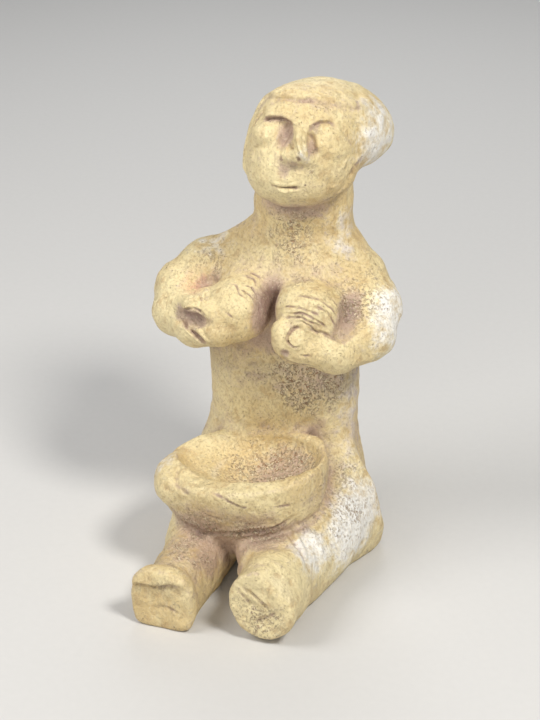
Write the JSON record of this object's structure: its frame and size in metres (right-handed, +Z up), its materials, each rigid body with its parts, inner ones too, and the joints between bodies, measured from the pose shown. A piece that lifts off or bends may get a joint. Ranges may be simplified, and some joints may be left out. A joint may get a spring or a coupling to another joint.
{
  "type": "seated clay figurine",
  "caption": "Hand-modelled fired clay figurine of a seated woman, hands at the breasts, legs out in front and an open bowl in the lap.",
  "frame": {"origin": "on the ground, on the flat underside below the middle of the trunk", "axes": "+Z up along the trunk; the figure looks along -Y and its left hand is at +X"},
  "size_m": [0.0808, 0.1004, 0.152],
  "materials": {
    "clay": "buff fired clay, semi-matt, with darker residue in the hollows"
  },
  "bodies": {
    "root": {"figurine": "clay"}
  },
  "joints": []
}
